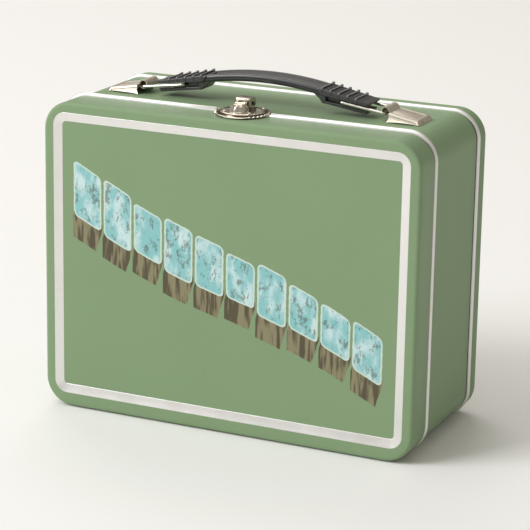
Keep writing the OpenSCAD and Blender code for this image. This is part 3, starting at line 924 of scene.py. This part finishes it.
def make_latch_disc(at, smooth_front, keep_front, gap):
    """One half of the round latch plate: crimped edge, dark valley and raised middle."""
    bm = bmesh.new()
    radius, top = at.radius + 0.5, at.lid_top
    middle = 1.65 if keep_front else 0.75
    bmesh.ops.create_circle(bm, cap_ends=True, segments=SCALLOPS * 8, radius=radius)
    edge_z = 0.15 if smooth_front else at.band_top - top + 0.2
    bmesh.ops.translate(bm, verts=bm.verts, vec=(0, 0, edge_z))
    crimped_edge = [(0.12, 0.3), (0.3, 0.55), (0.6, 0.6), (0.3, 0.45)]
    valley = [(0.45, 0.15), (0.8, 0.1), (0.2, 0.3)]
    raised = [(0.15, 0.8 * middle), (0.45, 0.97 * middle), (1.0, middle), (3.0, 0.97 * middle),
              (1.5, middle)]
    inset_steps(bm, crimped_edge + valley + raised, edge_z)
    for v in bm.verts:
        r = math.hypot(v.co.x, v.co.y)
        turn = math.atan2(v.co.x, -v.co.y)
        edge = min(max((r - radius + 3.2) / 1.6, 0.0), 1.0)
        crimp = min(max((abs(math.degrees(turn) + 8) - 36) / 14, 0.0), 1.0) if smooth_front else 1.0
        flute = math.cos(SCALLOPS * turn) * (0.75 + 0.25 * math.sin(5.3 * turn + 1)) * edge * crimp
        if edge > 0:
            shrink = 1 - 0.6 * (1 - flute) * edge * crimp / r
            v.co.x *= shrink
            v.co.y *= shrink
            v.co.z += (0.2 + 0.36 * flute) * crimp * (1 if v.co.z > 0.2 else 0.3)
    cut_y, outward = (-gap, 1) if keep_front else (gap, -1)
    slice_mesh(bm, (0, cut_y, 0), (0, outward, 0), clear_outer=True)
    bmesh.ops.translate(bm, verts=bm.verts, vec=(0, at.y, top))
    wall(bm, 0.4)
    return bm


def make_boss(at):
    """Bell that rises from the lid's plate, with soft flutes round it and its back cut flat."""
    bm = bmesh.new()
    base = at.lid_top + 1.6
    y = at.y - 4.3
    profile = [(5.6, 0.0), (5.1, 0.2), (4.8, 0.7), (4.6, 1.7), (4.2, 2.8), (3.5, 3.6),
               (2.6, 4.1), (1.4, 4.3), (0.0, 4.35)]
    turned(bm, profile, 0, y, base, 48)
    clean(bm)
    for v in bm.verts:
        away = Vector((v.co.x, v.co.y - y))
        if 2.0 < away.length < 5.2 and v.co.z > base + 0.5:
            turn = math.atan2(away.x, -away.y)
            grow = 1 + 0.08 * math.cos(6 * turn + 0.5)
            v.co.x, v.co.y = away.x * grow, y + away.y * grow
    slice_mesh(bm, (0, at.y - 0.5, 0), (0, 1, 0), clear_outer=True)
    close_holes(bm)
    return bm


def make_tongue(at):
    """Tongue of the catch and the lip that the lever's nose snaps behind."""
    bm = bmesh.new()
    top = at.lid_top
    front = at.y - 4.0
    tongue = [(front, top + 5.4), (front + 0.5, top + 6.1), (front + 1.2, top + 6.3),
              (front + 1.9, top + 5.9), (at.pin_y - 4.9, top + 3.9), (at.pin_y - 4.0, top + 3.9),
              (at.pin_y - 4.0, top + 3.1), (at.y - 0.6, top + 2.4), (at.y - 0.6, top + 1.6),
              (front, top + 1.6)]
    prism_x(bm, tongue, -2.8, 2.8)
    lip_y, lip_z = at.pin_y - 4.0 + 1.2, at.pin_z + 2.4 - 0.9 + 0.5
    lip = [(at.pin_y - 4.9, top + 3.2), (at.pin_y - 4.9, top + 3.9), (lip_y - 0.5, top + 3.9),
           (lip_y, lip_z), (lip_y + 0.75, lip_z), (lip_y + 0.75, top + 3.2)]
    prism_x(bm, lip, -1.7, 1.7)
    clean(bm)
    return bm


def make_lever(at):
    """Lever: two cheeks and a top sheet."""
    bm = bmesh.new()
    y, z = at.pin_y, at.pin_z
    cheek = [(-4.3, 3.2), (1.6, 3.2), (2.9, 2.5), (3.6, 1.0), (3.6, -0.8), (3.1, -1.6), (2.4, -1.85),
             (-3.6, -1.85), (-4.1, -1.5), (-4.3, -1.0)]
    half_w, sheet = 3.9, 0.75
    for side in (-1, 1):
        inner, outer = sorted((side * (half_w - sheet), side * half_w))
        prism_x(bm, [(y + a, z + b) for a, b in cheek], inner, outer)
    top = [(-4.4, 2.6), (-4.4, 3.3), (-2.0, 3.4), (1.7, 3.3), (2.0, 2.7), (1.6, 2.6)]
    prism_x(bm, [(y + a, z + b) for a, b in top], 0.05 - half_w, half_w - 0.05)
    clean(bm)
    return bm


def make_lever_roll(at):
    """Thick roll along the lever's front edge, which a finger lifts."""
    bm = bmesh.new()
    y, z = at.pin_y - 4.0, at.pin_z + 2.35
    rod(bm, (-3.95, y, z), (3.95, y, z), 0.98, 28)
    bm.normal_update()
    rims = [e for e in bm.edges if any(abs(f.normal.x) > 0.9 for f in e.link_faces)]
    bevel_edges(bm, rims, 0.3, 3)
    clean(bm)
    return bm


def make_ears(at):
    """Two ears of the rear plate that hold the lever's pin."""
    bm = bmesh.new()
    base = at.lid_top + 0.2 - at.pin_z
    ear = [(-1.9, base), (-1.9, 0.6), (-1.2, 1.6), (0, 1.95), (1.2, 1.6), (1.9, 0.6), (1.9, base)]
    skirt = [(-3.7, base), (-3.7, -2.6), (-3.3, -2.2), (3.0, -2.2), (3.6, -2.6), (1.6, base)]
    for side in (-1, 1):
        for outline, near, far in ((ear, 2.05, 2.75), (skirt, 4.05, 4.6)):
            inner, outer = sorted((side * near, side * far))
            prism_x(bm, [(at.pin_y + a, at.pin_z + b) for a, b in outline], inner, outer)
    # a dark-finished block between the ears, standing in for the shade under the lever
    box(bm, (-2.0, at.pin_y - 0.9, at.pin_z + base), (2.0, at.pin_y + 1.9, at.pin_z - 1.0))
    clean(bm)
    return bm


def make_rivets(node):
    """Low domed heads on the two rivets of a plate."""
    low, high = span(node)
    bm = bmesh.new()
    head_r = 1.8
    y, top = (low.y + high.y) / 2, span("lid_shell")[1].z + 1.65
    profile = [(1.25, -0.4), (1.25, 0.28), (1.05, 0.5), (0.65, 0.66), (0.0, 0.72)]
    for side in (-1, 1):
        turned(bm, profile, side * (high.x - head_r), y, top, 24)
    clean(bm)
    close_holes(bm)
    return bm


class LUNCHBOX_OT_latch(bpy.types.Operator):
    """Press the latch: scalloped plates, boss, tongue, lever and rivets"""

    bl_idname = "lunchbox.latch"
    bl_label = "Latch"

    def execute(self, context):
        metals, sizes = context.scene.lunchbox_metals, context.scene.lunchbox_sizes
        at = LatchLines()
        # the valley ring that the nickel darkens is painted shade between the crimped edge and the
        # raised middle
        valley = (at.y, at.radius - 2.9, at.radius - 0.7, at.lid_top + 1.2)
        nickel = bare_metal("latch_nickel", tuple(metals.nickel), 0.16, tarnish=0.45,
                            dark=(0.09, 0.06, 0.035), relief=0.02, valley=valley)
        dark = bare_metal("pin_steel", (0.10, 0.09, 0.08), 0.35)
        # a darker, duller copy of the nickel for the ears, their skirts and the block between them:
        # painted shade under the lever, with some real tarnish
        shaded_nickel = bare_metal("shaded_ear_steel", (0.30, 0.27, 0.21), 0.32, tarnish=0.5)
        edge = sizes.metal_edge
        coat("latch_pin", dark)
        made = (
            ("catch_plate", make_latch_disc(at, True, True, 0.4), "lid", ("latch_catch",), 0),
            ("catch_boss", make_boss(at), "lid", (), 0),
            ("catch_tongue", make_tongue(at), "lid", (), edge),
            ("catch_rivets", make_rivets("latch_catch_rivets"), "lid", ("latch_catch_rivets",), 0),
            ("rear_plate", make_latch_disc(at, False, False, 0.3), "case", ("latch_plate",), 0),
            ("lever_ears", make_ears(at), "case", (), edge),
            ("plate_rivets", make_rivets("latch_plate_rivets"), "case", ("latch_plate_rivets",), 0),
            ("latch_lever_plate", make_lever(at), "lever", ("latch_lever",), edge),
            ("latch_lever_roll", make_lever_roll(at), "lever", (), 0),
        )
        for name, bm, body, stands_for, rounding in made:
            metal = shaded_nickel if name == "lever_ears" else nickel
            finish_piece(bm, name, body, metal, stands_for, edge=rounding, sharp=40.0)
        return {"FINISHED"}


# ---- Stage ----

CAMERA_AT = (0.50226, -1.09332, 0.42729)
CAMERA_RIGHT, CAMERA_AHEAD = (0.90699, 0.42082, 0.01691), (-0.40033, 0.87390, -0.27574)
CAMERA_LENS, SENSOR_W = 155.8, 36.0
LAMPS = (
    # name, place, size, watts, colour
    ("key", (-3.1, -3.0, 3.0), 2.6, 192.0, (0.96, 0.98, 1.0)),
    ("overhead", (-0.8, -0.9, 3.2), 2.4, 24.0, (1.0, 0.99, 0.97)),
    ("backdrop", (-1.6, 2.4, 3.4), 2.6, 42.0, (1.0, 0.98, 0.95)),
)


class LUNCHBOX_OT_stage(bpy.types.Operator):
    """Lay the pale floor and set the lights and the camera"""

    bl_idname = "lunchbox.stage"
    bl_label = "Stage"

    def execute(self, context):
        scene = context.scene
        bm = bmesh.new()
        bmesh.ops.create_grid(bm, x_segments=8, y_segments=8, size=6.0)
        mesh = bpy.data.meshes.new("floor")
        bm.to_mesh(mesh)
        bm.free()
        floor = bpy.data.objects.new("floor", mesh)
        scene.collection.objects.link(floor)
        finish = Finish("pale_floor")
        finish.set(Base_Color=(0.875, 0.865, 0.855), Roughness=0.75)
        mesh.materials.append(finish.material)

        camera_data = bpy.data.cameras.new("camera")
        camera_data.lens = CAMERA_LENS
        camera_data.sensor_width = SENSOR_W
        camera_data.clip_start, camera_data.clip_end = 0.05, 30.0
        camera = bpy.data.objects.new("camera", camera_data)
        right, ahead = Vector(CAMERA_RIGHT), Vector(CAMERA_AHEAD)
        up = right.cross(ahead)
        turn = Matrix((right, up, -ahead)).transposed().to_4x4()
        camera.matrix_world = Matrix.Translation(CAMERA_AT) @ turn
        scene.collection.objects.link(camera)
        scene.camera = camera

        world = bpy.data.worlds.new("studio")
        world.use_nodes = True
        background = world.node_tree.nodes["Background"]
        background.inputs["Color"].default_value = (0.92, 0.875, 0.785, 1.0)
        background.inputs["Strength"].default_value = 0.45
        scene.world = world
        for lamp in LAMPS:
            self.lamp(scene, *lamp)
        scene.view_settings.view_transform = "Standard"
        return {"FINISHED"}

    def lamp(self, scene, name, place, size, power, colour):
        light = bpy.data.lights.new(name, "AREA")
        light.shape, light.size, light.energy, light.color = "SQUARE", size, power, colour
        lamp = bpy.data.objects.new(name, light)
        aim = Vector((0, 0, 0.08)) - Vector(place)
        turn = aim.to_track_quat("-Z", "Y").to_matrix().to_4x4()
        lamp.matrix_world = Matrix.Translation(place) @ turn
        scene.collection.objects.link(lamp)


class LUNCHBOX_PT_panel(bpy.types.Panel):
    """Sidebar panel that lists the pieces and their settings"""

    bl_idname = "LUNCHBOX_PT_panel"
    bl_label = "Lunch Box"
    bl_space_type = "VIEW_3D"
    bl_region_type = "UI"
    bl_category = "Lunch Box"

    def draw(self, context):
        layout = self.layout
        for group, keys in SETTINGS:
            owner = getattr(context.scene, group)
            for key in keys.__annotations__:
                layout.prop(owner, key)
        for operator in OPERATORS:
            layout.operator(operator.bl_idname)


OPERATORS = (
    LUNCHBOX_OT_stage,
    LUNCHBOX_OT_case,
    LUNCHBOX_OT_rims,
    LUNCHBOX_OT_frames,
    LUNCHBOX_OT_handle,
    LUNCHBOX_OT_brackets,
    LUNCHBOX_OT_latch,
)
SETTINGS = (
    ("lunchbox_paint", LunchBoxPaint),
    ("lunchbox_metals", LunchBoxMetals),
    ("lunchbox_sizes", LunchBoxSizes),
)


def register():
    for name, group in SETTINGS:
        bpy.utils.register_class(group)
        setattr(bpy.types.Scene, name, bpy.props.PointerProperty(type=group))
    for operator in OPERATORS:
        bpy.utils.register_class(operator)
    bpy.utils.register_class(LUNCHBOX_PT_panel)


def unregister():
    bpy.utils.unregister_class(LUNCHBOX_PT_panel)
    for operator in reversed(OPERATORS):
        bpy.utils.unregister_class(operator)
    for name, group in reversed(SETTINGS):
        delattr(bpy.types.Scene, name)
        bpy.utils.unregister_class(group)


def main():
    register()
    for operator in OPERATORS:
        group, name = operator.bl_idname.split(".")
        getattr(getattr(bpy.ops, group), name)()


if __name__ == "__main__":
    main()
